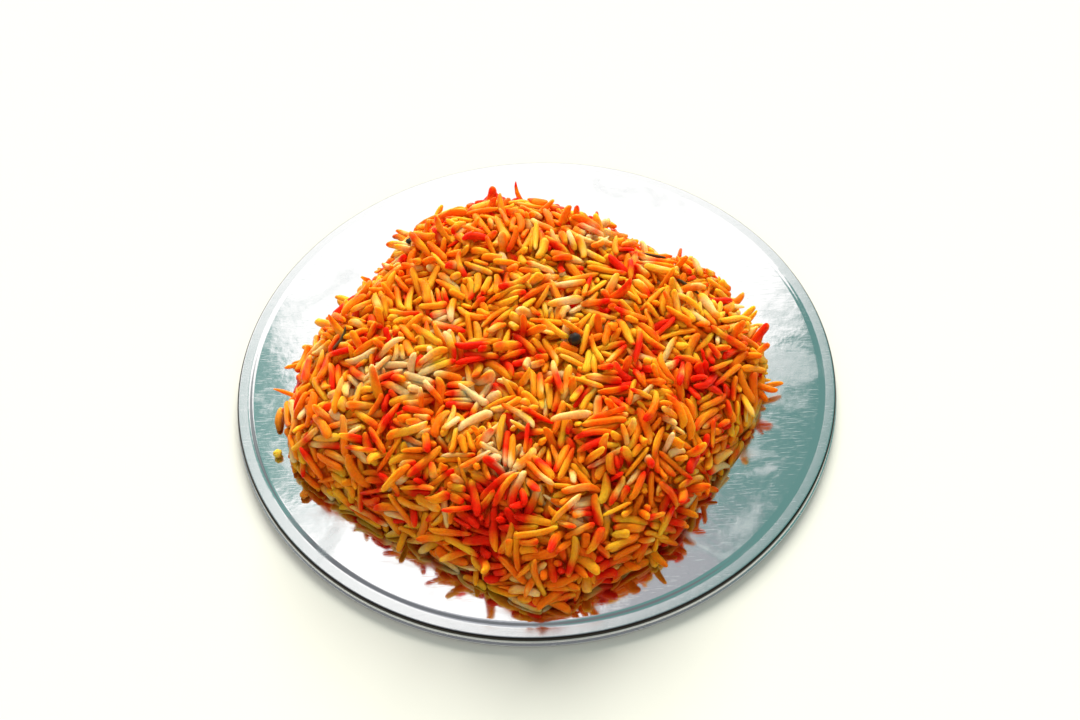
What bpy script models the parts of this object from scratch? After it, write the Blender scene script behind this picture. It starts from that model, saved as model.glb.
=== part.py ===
"""Spiced basmati rice heaped on a shallow round steel plate, with a few loose bits beside the heap.

Metres, +Z up. The origin is the point of the table under the plate's middle.
Run it with: blender --background --python part.py
"""

import math
import random

import bmesh
import bpy
from mathutils import Matrix, Vector, noise

OBJECT_NAME = "basmati_rice_plate"
CLEARANCE = 0.0003  # air between neighbours that lie on each other

# The plate is pressed from one sheet: a flat face, a low step down to a narrow ledge round it, and an
# edge turned down into a short skirt. The skirt ends in a small rolled bead with a flat foot.
PLATE_RADIUS = 0.100
PLATE_TOP = 0.0046
PLATE_SHEET = 0.0008
STEP_CURVE = 0.0035
STEP_SLOPE = math.radians(20)
STEP_RUN = 2 * STEP_CURVE * math.sin(STEP_SLOPE)
STEP_FALL = 2 * STEP_CURVE * (1 - math.cos(STEP_SLOPE))
LEDGE_WIDTH = 0.0026
LEDGE_TOP = PLATE_TOP - STEP_FALL
EDGE_CURVE = 0.0009
BEAD_RADIUS = 0.0006
BEAD_WORN = math.radians(30)  # how far from straight down the bead's flat foot reaches
BEAD_MIDDLE = (PLATE_RADIUS - BEAD_RADIUS, BEAD_RADIUS * math.cos(BEAD_WORN))
FACE_RADIUS = BEAD_MIDDLE[0] - EDGE_CURVE - LEDGE_WIDTH - STEP_RUN
PLATE_STEPS = 64
STEP_STEPS = 2
EDGE_STEPS = 3
BEAD_STEPS = 4

# The heap is a rounded square seen from above, with steep sides and a low crown.
HEAP_CENTRE = Vector((-0.0026, -0.0093))
HEAP_HALF_WIDTH = 0.0680
HEAP_HALF_LENGTH = 0.0690
HEAP_TURN = math.radians(54.5)
HEAP_SQUARENESS = 3.2
OUTLINE_CHANGES = (  # azimuth, how far the outline goes out there, and its spread
    (math.radians(-91), 0.0042, math.radians(8)),
    (math.radians(-158), 0.0030, math.radians(9)),
    (math.radians(-72), -0.0022, math.radians(8)),
    (math.radians(45), -0.0034, math.radians(9)),
    (math.radians(16), -0.0022, math.radians(9)),
)
HEAP_HEIGHT = 0.0261
CROWN_FLATNESS = 4.5
SIDE_ROUNDNESS = 2.2
HEAP_FOOT = PLATE_TOP + CLEARANCE
HEAP_SECTORS = 64
HEAP_RINGS = 20
SWELL = 0.0030  # slow rise and fall of the surface
SWELL_PITCH = 0.030
LUMP = 0.0022  # unevenness of a grain's size
LUMP_PITCH = 0.0065

# Cooked grains, long and thin.
GRAIN_LENGTHS = (0.0098, 0.0132)
GRAIN_RADIUS = 0.00118
GRAIN_SIDES = 5
GRAIN_BELTS = 3
GRAIN_COUNT = 175
GRAIN_SPACING = 0.0094
GRAIN_GAP = 0.0028  # least distance between the middle lines of two grains
GRAIN_SAMPLES = (-0.45, -0.2, 0.0, 0.2, 0.45)
GRAIN_DRAWS = 9000
LYING_TILT = math.radians(12)
STANDING_TILT = (math.radians(25), math.radians(50))
STANDING_EVERY = 7
STANDING_LIFT = 0.16  # of its length
LYING_LIFT = 0.1  # of its radius
RANDOM_SEED = 41

# Spices that lie on the heap, placed from the plate's middle: x, y and heading.
PEPPERCORN_RADIUS = 0.0021
PEPPERCORN_AT = (0.0131, -0.0102)
SLIVER_LENGTH = 0.0105
SLIVER_RADIUS = 0.0009
SLIVERS = (
    (0.0513, 0.0132, math.radians(-40)),
    (0.0409, 0.0297, math.radians(20)),
    (-0.0616, -0.0009, math.radians(62)),
)

# Bits that have dropped on the plate, clear of the heap.
LOOSE_GRAIN_AT = (-0.0842, -0.0155)
LOOSE_GRAIN_LENGTH = 0.0092
LOOSE_GRAIN_RADIUS = 0.0012
LOOSE_GRAIN_HEADING = math.radians(88)
CRUMB_RADIUS = 0.0014
CRUMBS = {"crumb_left": (-0.0838, -0.0294), "crumb_front": (-0.0744, -0.0455)}


def finish(name, colour, roughness, metallic=0.0):
    """A plain Principled material."""
    material = bpy.data.materials.new(name)
    material.use_nodes = True
    shader = material.node_tree.nodes["Principled BSDF"]
    shader.inputs["Base Color"].default_value = (*colour, 1.0)
    shader.inputs["Roughness"].default_value = roughness
    shader.inputs["Metallic"].default_value = metallic
    return material


def add_object(name, mesh, collection, material=None):
    """A new object of a mesh, in a collection."""
    made = bpy.data.objects.new(name, mesh)
    collection.objects.link(made)
    if material:
        mesh.materials.append(material)
    return made


def mesh_from(built, name):
    """A mesh from a bmesh, which is then freed."""
    bmesh.ops.recalc_face_normals(built, faces=built.faces)
    mesh = bpy.data.meshes.new(name)
    built.to_mesh(mesh)
    built.free()
    return mesh


# ---------------------------------------------------------------- plate

def sheet_line(depth):
    """Points (radius, height) from the flat face out and down the skirt, at a depth in the sheet."""
    step_end = FACE_RADIUS + STEP_RUN
    edge_start = step_end + LEDGE_WIDTH
    slopes = [STEP_SLOPE * step / STEP_STEPS for step in range(STEP_STEPS + 1)]
    turns = [math.pi / 2 * step / EDGE_STEPS for step in range(EDGE_STEPS + 1)]
    crest = STEP_CURVE - depth
    hollow = STEP_CURVE + depth
    edge = EDGE_CURVE - depth
    over = [(FACE_RADIUS + crest * math.sin(t), PLATE_TOP - depth - crest * (1 - math.cos(t))) for t in slopes]
    out = [(step_end - hollow * math.sin(t), LEDGE_TOP - depth + hollow * (1 - math.cos(t))) for t in slopes]
    down = [(edge_start + edge * math.sin(t), LEDGE_TOP - depth - edge * (1 - math.cos(t))) for t in turns]
    return over + out[-2::-1] + down


def bead_arc():
    """Points round the bead, from the skirt's outer face over the outer side to both ends of its foot."""
    sweep = math.pi - BEAD_WORN
    turns = [math.pi / 2 - sweep * step / BEAD_STEPS for step in range(BEAD_STEPS + 1)]
    turns.append(-math.pi / 2 - BEAD_WORN)
    return [
        (BEAD_MIDDLE[0] + BEAD_RADIUS * math.cos(t), BEAD_MIDDLE[1] + BEAD_RADIUS * math.sin(t)) for t in turns
    ]


def plate_top(radius):
    """Height of the plate's upper face at a distance from its middle, out to the ledge."""
    reach = min(max(radius - FACE_RADIUS, 0.0), STEP_RUN)
    if reach < STEP_RUN / 2:
        return PLATE_TOP - STEP_CURVE + math.sqrt(STEP_CURVE**2 - reach**2)
    return LEDGE_TOP + STEP_CURVE - math.sqrt(STEP_CURVE**2 - (STEP_RUN - reach) ** 2)


def make_plate(collection):
    """The plate, turned from its half section."""
    inner_foot = (BEAD_MIDDLE[0] - PLATE_SHEET, BEAD_RADIUS)
    under = reversed(sheet_line(PLATE_SHEET))
    section = [(0.0, PLATE_TOP), *sheet_line(0.0), *bead_arc(), inner_foot, *under, (0.0, PLATE_TOP - PLATE_SHEET)]
    built = bmesh.new()
    points = [built.verts.new((radius, 0.0, height)) for radius, height in section]
    for first, second in zip(points, points[1:]):
        built.edges.new((first, second))
    mesh = bpy.data.meshes.new("plate")
    built.to_mesh(mesh)
    built.free()
    plate = add_object("plate", mesh, collection, finish("polished_steel", (0.72, 0.73, 0.74), 0.18, 1.0))
    turn = plate.modifiers.new("turn", "SCREW")
    turn.steps = PLATE_STEPS
    turn.render_steps = PLATE_STEPS
    turn.use_merge_vertices = True
    turn.merge_threshold = 0.00001
    turn.use_smooth_shade = True
    return plate


# ---------------------------------------------------------------- heap

def heap_reach(azimuth):
    """Distance from the heap's centre to its foot in a direction."""
    along = abs(math.cos(azimuth - HEAP_TURN) / HEAP_HALF_WIDTH)
    across = abs(math.sin(azimuth - HEAP_TURN) / HEAP_HALF_LENGTH)
    reach = (along**HEAP_SQUARENESS + across**HEAP_SQUARENESS) ** (-1 / HEAP_SQUARENESS)
    for place, change, spread in OUTLINE_CHANGES:
        off = math.remainder(azimuth - place, 2 * math.pi) / spread
        reach += change * math.exp(-off * off)
    return reach


def uneven(point):
    """How far the heap's surface stands out of its even form at a point."""
    swell = noise.noise(point / SWELL_PITCH) * SWELL
    lump = noise.noise(point / LUMP_PITCH) * LUMP
    return swell + lump


def heap_point(azimuth, fraction):
    """A point of the heap's surface, from the crown (fraction 0) to the foot (fraction 1)."""
    fall = math.pi / 2 * fraction**2
    out = math.sin(fall) ** (2 / CROWN_FLATNESS) * heap_reach(azimuth)
    up = max(math.cos(fall), 0.0) ** (2 / SIDE_ROUNDNESS)
    point = Vector((HEAP_CENTRE.x + out * math.cos(azimuth), HEAP_CENTRE.y + out * math.sin(azimuth), 0.0))
    point.z = HEAP_FOOT + HEAP_HEIGHT * up
    point.z += uneven(point) * up
    return point


def heap_frame(azimuth, fraction):
    """A point of the heap's surface, with its outward normal and a direction round the heap."""
    step = 0.02
    point = heap_point(azimuth, fraction)
    round_way = (heap_point(azimuth + step, fraction) - point).normalized()
    down_way = (heap_point(azimuth, min(fraction + step, 1.0)) - heap_point(azimuth, fraction - step)).normalized()
    return point, down_way.cross(round_way).normalized(), round_way


def heap_height_at(place):
    """Place on the heap's surface above or below a point (x, y) of the plate."""
    offset = Vector(place) - HEAP_CENTRE
    azimuth = math.atan2(offset.y, offset.x)
    out = offset.length / heap_reach(azimuth)
    fall = math.asin(out ** (CROWN_FLATNESS / 2))
    return heap_frame(azimuth, math.sqrt(fall / (math.pi / 2)))


def heap_core(collection, material):
    """The heap's body: a half ball drawn out to the heap's form, closed by a flat foot."""
    built = bmesh.new()
    bmesh.ops.create_uvsphere(built, u_segments=HEAP_SECTORS, v_segments=2 * HEAP_RINGS, radius=1.0)
    half_step = math.cos(math.pi / 2 + math.pi / 4 / HEAP_RINGS)
    below = [v for v in built.verts if v.co.z < half_step]
    bmesh.ops.delete(built, geom=below, context="VERTS")
    bmesh.ops.holes_fill(built, edges=[e for e in built.edges if e.is_boundary])
    for vertex in built.verts:
        fraction = math.acos(min(max(vertex.co.z, 0.0), 1.0)) / (math.pi / 2)
        vertex.co = heap_point(math.atan2(vertex.co.y, vertex.co.x), fraction)
    bmesh.ops.triangulate(built, faces=built.faces)
    return add_object("rice_heap", mesh_from(built, "rice_heap"), collection, material)


class Grain:
    """Where a grain lies: its middle, its long direction, half its length and its radius."""

    def __init__(self, middle, way, length, radius=GRAIN_RADIUS):
        """Keep the grain's place and size."""
        self.middle = middle
        self.way = way.normalized()
        self.length = length
        self.radius = radius

    def samples(self):
        """Points along the grain's middle line."""
        return [self.middle + self.way * (self.length * s) for s in GRAIN_SAMPLES]

    def clears(self, others, gap):
        """Whether the grain keeps a gap to all the others."""
        mine = self.samples()
        near = [g for g in others if (g.middle - self.middle).length < self.length + g.length]
        return all((a - b).length > gap for g in near for a in mine for b in g.samples())

    def above_plate(self):
        """Whether the grain stays over the plate's upper face."""
        low = self.radius + CLEARANCE
        return all(p.z - low > plate_top(math.hypot(p.x, p.y) + self.radius) for p in self.samples())


def grain_mesh(grain, name):
    """A slim ball with few sides, drawn out along the grain."""
    built = bmesh.new()
    bmesh.ops.create_uvsphere(built, u_segments=GRAIN_SIDES, v_segments=GRAIN_BELTS, radius=1.0)
    bmesh.ops.scale(built, vec=(grain.radius, grain.radius, grain.length / 2), verts=built.verts)
    turn = grain.way.to_track_quat("Z", "Y").to_matrix().to_4x4()
    bmesh.ops.transform(built, matrix=Matrix.Translation(grain.middle) @ turn, verts=built.verts)
    bmesh.ops.triangulate(built, faces=built.faces)
    return mesh_from(built, name)


def heap_grains(kept_clear):
    """Grains spread evenly over the heap, each half sunk in it; every few stand up."""
    draw = random.Random(RANDOM_SEED)
    grains = []
    for _ in range(GRAIN_DRAWS):
        if len(grains) == GRAIN_COUNT:
            break
        point, normal, round_way = heap_frame(draw.uniform(-math.pi, math.pi), draw.uniform(0.05, 0.97))
        if any((g.middle - point).length < GRAIN_SPACING for g in grains):
            continue
        stands = len(grains) % STANDING_EVERY == 0
        tilt = draw.uniform(*STANDING_TILT) if stands else draw.uniform(-LYING_TILT, LYING_TILT)
        heading = Matrix.Rotation(draw.uniform(0, 2 * math.pi), 3, normal) @ round_way
        way = heading * math.cos(tilt) + normal * math.sin(tilt)
        length = draw.uniform(*GRAIN_LENGTHS)
        lift = length * STANDING_LIFT if stands else GRAIN_RADIUS * LYING_LIFT
        grain = Grain(point + normal * lift, way, length)
        if grain.above_plate() and grain.clears(grains, GRAIN_GAP) and grain.clears(kept_clear, 2 * GRAIN_GAP):
            grains.append(grain)
    return grains


def spice_grains():
    """Slivers of spice lying on the heap."""
    slivers = []
    for x, y, heading in SLIVERS:
        point, normal, _ = heap_height_at((x, y))
        flat = Vector((math.cos(heading), math.sin(heading), 0.0))
        way = flat - normal * flat.dot(normal)
        slivers.append(Grain(point + normal * SLIVER_RADIUS * 0.5, way, SLIVER_LENGTH, SLIVER_RADIUS))
    return slivers


def peppercorn():
    """A peppercorn, half sunk in the heap."""
    point, normal, _ = heap_height_at(PEPPERCORN_AT)
    return Grain(point + normal * PEPPERCORN_RADIUS * 0.4, normal, 2 * PEPPERCORN_RADIUS, PEPPERCORN_RADIUS)


def drop_scraps(mesh):
    """Leave only the largest body of a mesh."""
    built = bmesh.new()
    built.from_mesh(mesh)
    left = set(built.verts)
    bodies = []
    while left:
        body = set()
        front = [next(iter(left))]
        while front:
            vertex = front.pop()
            if vertex in left:
                left.remove(vertex)
                body.add(vertex)
                front.extend(edge.other_vert(vertex) for edge in vertex.link_edges)
        bodies.append(body)
    bodies.sort(key=len)
    for scrap in bodies[:-1]:
        bmesh.ops.delete(built, geom=list(scrap), context="VERTS")
    built.to_mesh(mesh)
    built.free()


def make_heap(collection, helpers, loose):
    """The heap with its grains and spices fused on."""
    core = heap_core(collection, finish("spiced_rice", (0.85, 0.32, 0.03), 0.45))
    slivers = spice_grains()
    pepper = peppercorn()
    grains = heap_grains([*loose, *slivers, pepper])
    for number, grain in enumerate([pepper, *slivers, *grains]):
        name = f"fused_{number:03d}"
        helper = add_object(name, grain_mesh(grain, name), helpers)
        helper.hide_render = True
        helper.display_type = "WIRE"
    join = core.modifiers.new("join", "BOOLEAN")
    join.operation = "UNION"
    join.operand_type = "COLLECTION"
    join.collection = helpers
    join.solver = "MANIFOLD"
    joined = bpy.data.meshes.new_from_object(core.evaluated_get(bpy.context.evaluated_depsgraph_get()))
    core.modifiers.clear()
    drop_scraps(joined)
    core.data = joined
    for helper in list(helpers.objects):
        bpy.data.objects.remove(helper)
    return core


# ---------------------------------------------------------------- loose bits

def resting(place, radius):
    """A point at a radius above the plate's upper face, with a little air under it."""
    distance = math.hypot(*place) + radius
    return Vector((*place, plate_top(distance) + CLEARANCE + radius))


def loose_grain():
    """The grain that has dropped beside the heap."""
    way = Vector((math.cos(LOOSE_GRAIN_HEADING), math.sin(LOOSE_GRAIN_HEADING), 0.0))
    middle = resting(LOOSE_GRAIN_AT, LOOSE_GRAIN_RADIUS)
    return Grain(middle, way, LOOSE_GRAIN_LENGTH, LOOSE_GRAIN_RADIUS)


def crumbs():
    """The two crumbs of rice on the plate, by name."""
    up = Vector((0.0, 0.0, 1.0))
    return {
        name: Grain(resting(place, CRUMB_RADIUS), up, 2 * CRUMB_RADIUS, CRUMB_RADIUS)
        for name, place in CRUMBS.items()
    }


def main():
    """Build the whole object."""
    for old in list(bpy.data.objects):
        bpy.data.objects.remove(old)
    collection = bpy.data.collections.new(OBJECT_NAME)
    helpers = bpy.data.collections.new("helpers")
    for added in (collection, helpers):
        bpy.context.scene.collection.children.link(added)
    make_plate(collection)
    rice_bit = finish("rice_bit", (0.85, 0.36, 0.04), 0.45)
    bits = {"loose_grain": loose_grain(), **crumbs()}
    for name, bit in bits.items():
        add_object(name, grain_mesh(bit, name), collection, rice_bit)
    make_heap(collection, helpers, list(bits.values()))


main()
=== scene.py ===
"""Looks of a plate of spiced basmati rice: cooked grains heaped on a shallow plate of polished steel.

Metres, +Z up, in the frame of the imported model. The rice is laid by a small relaxation of stiff rods that
settles every grain on its neighbours, and each grain is then drawn from one prototype.
"""

import logging
import math
from dataclasses import dataclass, field
from enum import Enum

import bmesh
import bpy
import numpy as np
from mathutils import Matrix, Vector, noise

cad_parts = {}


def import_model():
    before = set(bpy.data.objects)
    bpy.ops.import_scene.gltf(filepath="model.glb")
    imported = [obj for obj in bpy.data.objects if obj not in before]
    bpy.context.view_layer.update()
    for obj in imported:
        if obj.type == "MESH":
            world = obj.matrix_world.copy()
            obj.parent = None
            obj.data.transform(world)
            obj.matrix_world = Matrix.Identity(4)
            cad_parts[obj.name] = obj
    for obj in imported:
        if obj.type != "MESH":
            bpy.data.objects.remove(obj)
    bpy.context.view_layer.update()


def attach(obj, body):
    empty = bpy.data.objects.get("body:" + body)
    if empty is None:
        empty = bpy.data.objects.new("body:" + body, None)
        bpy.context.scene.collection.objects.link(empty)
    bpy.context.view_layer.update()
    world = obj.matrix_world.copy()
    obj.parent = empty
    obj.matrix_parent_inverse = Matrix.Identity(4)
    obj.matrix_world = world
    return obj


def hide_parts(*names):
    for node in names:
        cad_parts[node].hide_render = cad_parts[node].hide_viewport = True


LOG = logging.getLogger("basmati")
Array = np.ndarray
MM = 0.001
BODY = "root"
BAKE_MAP = "OFBake"
DYE_ATTRIBUTE = "dye"


# ---------------------------------------------------------------- small helpers

def srgb(code: str) -> tuple[float, float, float]:
    """Turn an sRGB hex colour into linear light.

    Args:
        code: Six hex digits.

    Returns:
        Red, green and blue from 0 to 1.
    """
    values = [int(code[i:i + 2], 16) / 255 for i in (0, 2, 4)]
    return tuple(v / 12.92 if v <= 0.04045 else ((v + 0.055) / 1.055) ** 2.4 for v in values)


def add_node(
    tree: bpy.types.NodeTree, kind: str, values: dict | None = None, **settings: object
) -> bpy.types.Node:
    """Add a node with its settings, socket values and links.

    Args:
        tree: Node tree that takes the node.
        kind: Blender's type name of the node.
        values: Socket name or number to a value, or to an output socket that is linked in.
        **settings: Properties of the node.

    Returns:
        The new node.
    """
    node = tree.nodes.new(kind)
    for name, setting in settings.items():
        setattr(node, name, setting)
    for key, value in (values or {}).items():
        socket = node.inputs[key]
        if isinstance(value, bpy.types.NodeSocket):
            tree.links.new(value, socket)
        else:
            socket.default_value = value
    return node


def new_material(name: str) -> tuple[bpy.types.Material, bpy.types.NodeTree, bpy.types.Node]:
    """Make a material with a Principled shader.

    Args:
        name: Name of the real material and how its surface was made.

    Returns:
        The material, its node tree and its shader node.
    """
    material = bpy.data.materials.new(name)
    material.use_nodes = True
    tree = material.node_tree
    return material, tree, tree.nodes["Principled BSDF"]


def place_piece(
    name: str, mesh: bpy.types.Mesh, material: bpy.types.Material, slot: str, *nodes: str
) -> bpy.types.Object:
    """Put a finished mesh in the scene as a piece of the object.

    Args:
        name: Name of the piece.
        mesh: Its mesh, already in place.
        material: Its finish.
        slot: The record's material slot; not used.
        *nodes: CAD nodes that the piece stands for.

    Returns:
        The piece.
    """
    piece = bpy.data.objects.new(name, mesh)
    bpy.context.scene.collection.objects.link(piece)
    mesh.materials.append(material)
    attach(piece, BODY)
    if nodes:
        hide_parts(*nodes)
    return piece


def mesh_of(built: bmesh.types.BMesh, name: str, smooth: bool = True) -> bpy.types.Mesh:
    """Turn a bmesh into a mesh with its faces outwards, and free it.

    Args:
        built: The bmesh.
        name: Name of the mesh.
        smooth: Whether the faces are shaded smooth.

    Returns:
        The mesh.
    """
    bmesh.ops.recalc_face_normals(built, faces=built.faces)
    for face in built.faces:
        face.smooth = smooth
    mesh = bpy.data.meshes.new(name)
    built.to_mesh(mesh)
    built.free()
    return mesh


def paint(mesh: bpy.types.Mesh, colours: Array) -> None:
    """Give a mesh its dye.

    Args:
        mesh: The mesh.
        colours: Linear red, green, blue and alpha of each vertex.
    """
    dye = mesh.attributes.new(DYE_ATTRIBUTE, "FLOAT_COLOR", "POINT")
    dye.data.foreach_set("color", colours.reshape(-1).astype(np.float32))


# ---------------------------------------------------------------- plate

@dataclass(frozen=True)
class PolishedSteel:
    """Stainless steel, pressed and polished: a near mirror, with hairlines from washing, greasy smears, and
    painted shade on its turned-down edge.
    """

    name: str = "polished_stainless_steel"
    colour: str = "DCDDDF"
    roughness: float = 0.08
    smeared: float = 0.28
    smear_width: float = 26 * MM
    hairline_length: float = 7 * MM
    hairline_width: float = 0.32 * MM  # real hairlines are finer, and wouldn't show
    hairline_ways: tuple[float, ...] = (4.0, 68.0, -37.0)
    hairline_shift: tuple[float, float] = (0.3, 0.2)
    hairline_level: tuple[float, float] = (0.66, 0.76)  # where in the noise a hairline starts and is full
    hairline_blur: float = 0.05
    hairline_relief: float = 0.12
    hairline_depth: float = 0.03 * MM
    smear_level: tuple[float, float] = (0.52, 0.70)
    waves: tuple[tuple[float, float], ...] = ((14 * MM, 0.07 * MM), (2.4 * MM, 0.014 * MM))  # pitch, depth
    worn_from: float = 95.4 * MM
    worn_blend: float = 0.6 * MM
    worn: float = 0.24
    edge_shade: str = "3E3A35"  # painted shade: the turned-down edge is coloured dark for the dark line of shaded table that it mirrors
    edge_shade_from: float = 98.8 * MM
    edge_shade_blend: float = 0.15 * MM
    edge_shade_foot: float = 2.8 * MM
    foot_blend: float = 0.3 * MM

    def hairlines(self, tree: bpy.types.NodeTree, place: bpy.types.NodeSocket) -> bpy.types.NodeSocket:
        """Lay straight fine scratches in a few directions.

        Args:
            tree: The material's node tree.
            place: Coordinates on the plate.

        Returns:
            A value that is 1 in a scratch.
        """
        lines = None
        for number, angle in enumerate(self.hairline_ways):
            turned = add_node(tree, "ShaderNodeMapping", {
                "Vector": place,
                "Location": (self.hairline_shift[0] * number, self.hairline_shift[1] * number, 0.0),
                "Rotation": (0.0, 0.0, math.radians(angle)),
                "Scale": (1 / self.hairline_length, 1 / self.hairline_width, 1.0),
            })
            grain = add_node(tree, "ShaderNodeTexNoise", {
                "Vector": turned.outputs["Vector"], "Scale": 1.0, "Detail": 1.0, "Roughness": 0.5,
            })
            line = add_node(tree, "ShaderNodeMapRange", {
                "Value": grain.outputs["Fac"],
                "From Min": self.hairline_level[0], "From Max": self.hairline_level[1],
            }).outputs["Result"]
            if lines is None:
                lines = line
            else:
                both = add_node(tree, "ShaderNodeMath", {0: lines, 1: line}, operation="MAXIMUM")
                lines = both.outputs["Value"]
        return lines

    def roughening(
        self, tree: bpy.types.NodeTree, place: bpy.types.NodeSocket, radius: bpy.types.NodeSocket
    ) -> bpy.types.NodeSocket:
        """Work out how rough the steel is where it is smeared with grease or worn at the rim.

        Args:
            tree: The material's node tree.
            place: Coordinates on the plate.
            radius: Distance from the plate's axis.

        Returns:
            The roughness, without the hairlines.
        """
        smears = add_node(tree, "ShaderNodeTexNoise", {
            "Vector": place, "Scale": 1 / self.smear_width,
            "Detail": 6.0, "Roughness": 0.62, "Distortion": 0.6,
        })
        smear = add_node(tree, "ShaderNodeMapRange", {
            "Value": smears.outputs["Fac"],
            "From Min": self.smear_level[0], "From Max": self.smear_level[1],
            "To Min": self.roughness, "To Max": self.smeared,
        }, interpolation_type="SMOOTHSTEP")
        worn = add_node(tree, "ShaderNodeMapRange", {
            "Value": radius, "From Min": self.worn_from, "From Max": self.worn_from + self.worn_blend,
            "To Min": 0.0, "To Max": self.worn,
        })
        return add_node(tree, "ShaderNodeMath", {
            0: smear.outputs["Result"], 1: worn.outputs["Result"],
        }, operation="MAXIMUM").outputs["Value"]

    def painted_edge_shade(
        self, tree: bpy.types.NodeTree, place: bpy.types.NodeSocket, radius: bpy.types.NodeSocket
    ) -> bpy.types.NodeSocket:
        """Find the band of the turned-down edge above its foot that is painted dark as shade.

        Args:
            tree: The material's node tree.
            place: Coordinates on the plate.
            radius: Distance from the plate's axis.

        Returns:
            A value that is 1 on the dull edge.
        """
        height = add_node(tree, "ShaderNodeSeparateXYZ", {"Vector": place}).outputs["Z"]
        edge = add_node(tree, "ShaderNodeMapRange", {
            "Value": radius, "From Min": self.edge_shade_from, "From Max": self.edge_shade_from + self.edge_shade_blend,
        })
        skirt = add_node(tree, "ShaderNodeMapRange", {
            "Value": height, "From Min": self.edge_shade_foot, "From Max": self.edge_shade_foot + self.foot_blend,
        })
        return add_node(tree, "ShaderNodeMath", {
            0: edge.outputs["Result"], 1: skirt.outputs["Result"],
        }, operation="MULTIPLY").outputs["Value"]

    def material(self) -> bpy.types.Material:
        """Build the material.

        Returns:
            The material.
        """
        material, tree, shader = new_material(self.name)
        place = add_node(tree, "ShaderNodeTexCoord").outputs["Object"]
        flat = add_node(tree, "ShaderNodeVectorMath", {0: place, 1: (1.0, 1.0, 0.0)}, operation="MULTIPLY")
        radius = add_node(tree, "ShaderNodeVectorMath", {0: flat.outputs["Vector"]}, operation="LENGTH")
        rough = self.roughening(tree, place, radius.outputs["Value"])
        lines = self.hairlines(tree, place)
        lined = add_node(tree, "ShaderNodeMath", {
            0: lines, 1: self.hairline_blur, 2: rough,
        }, operation="MULTIPLY_ADD")
        normal = None
        for pitch, depth in self.waves:
            wave = add_node(tree, "ShaderNodeTexNoise", {
                "Vector": place, "Scale": 1 / pitch, "Detail": 2.0, "Roughness": 0.5,
            })
            bump = add_node(tree, "ShaderNodeBump", {"Height": wave.outputs["Fac"], "Distance": depth})
            if normal is not None:
                tree.links.new(normal, bump.inputs["Normal"])
            normal = bump.outputs["Normal"]
        scratch = add_node(tree, "ShaderNodeBump", {
            "Height": lines, "Normal": normal,
            "Strength": self.hairline_relief, "Distance": self.hairline_depth,
        })
        # painted shade: above its foot, the edge's colour turns dark
        edge_shade = self.painted_edge_shade(tree, place, radius.outputs["Value"])
        colour = add_node(tree, "ShaderNodeMix", {"Factor": edge_shade}, data_type="RGBA")
        # a colour mix has number sockets of the same names first, so its own are found by place
        colour.inputs[6].default_value = (*srgb(self.colour), 1.0)
        colour.inputs[7].default_value = (*srgb(self.edge_shade), 1.0)
        tree.links.new(colour.outputs[2], shader.inputs["Base Color"])
        shader.inputs["Metallic"].default_value = 1.0
        tree.links.new(lined.outputs["Value"], shader.inputs["Roughness"])
        tree.links.new(scratch.outputs["Normal"], shader.inputs["Normal"])
        return material


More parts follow.
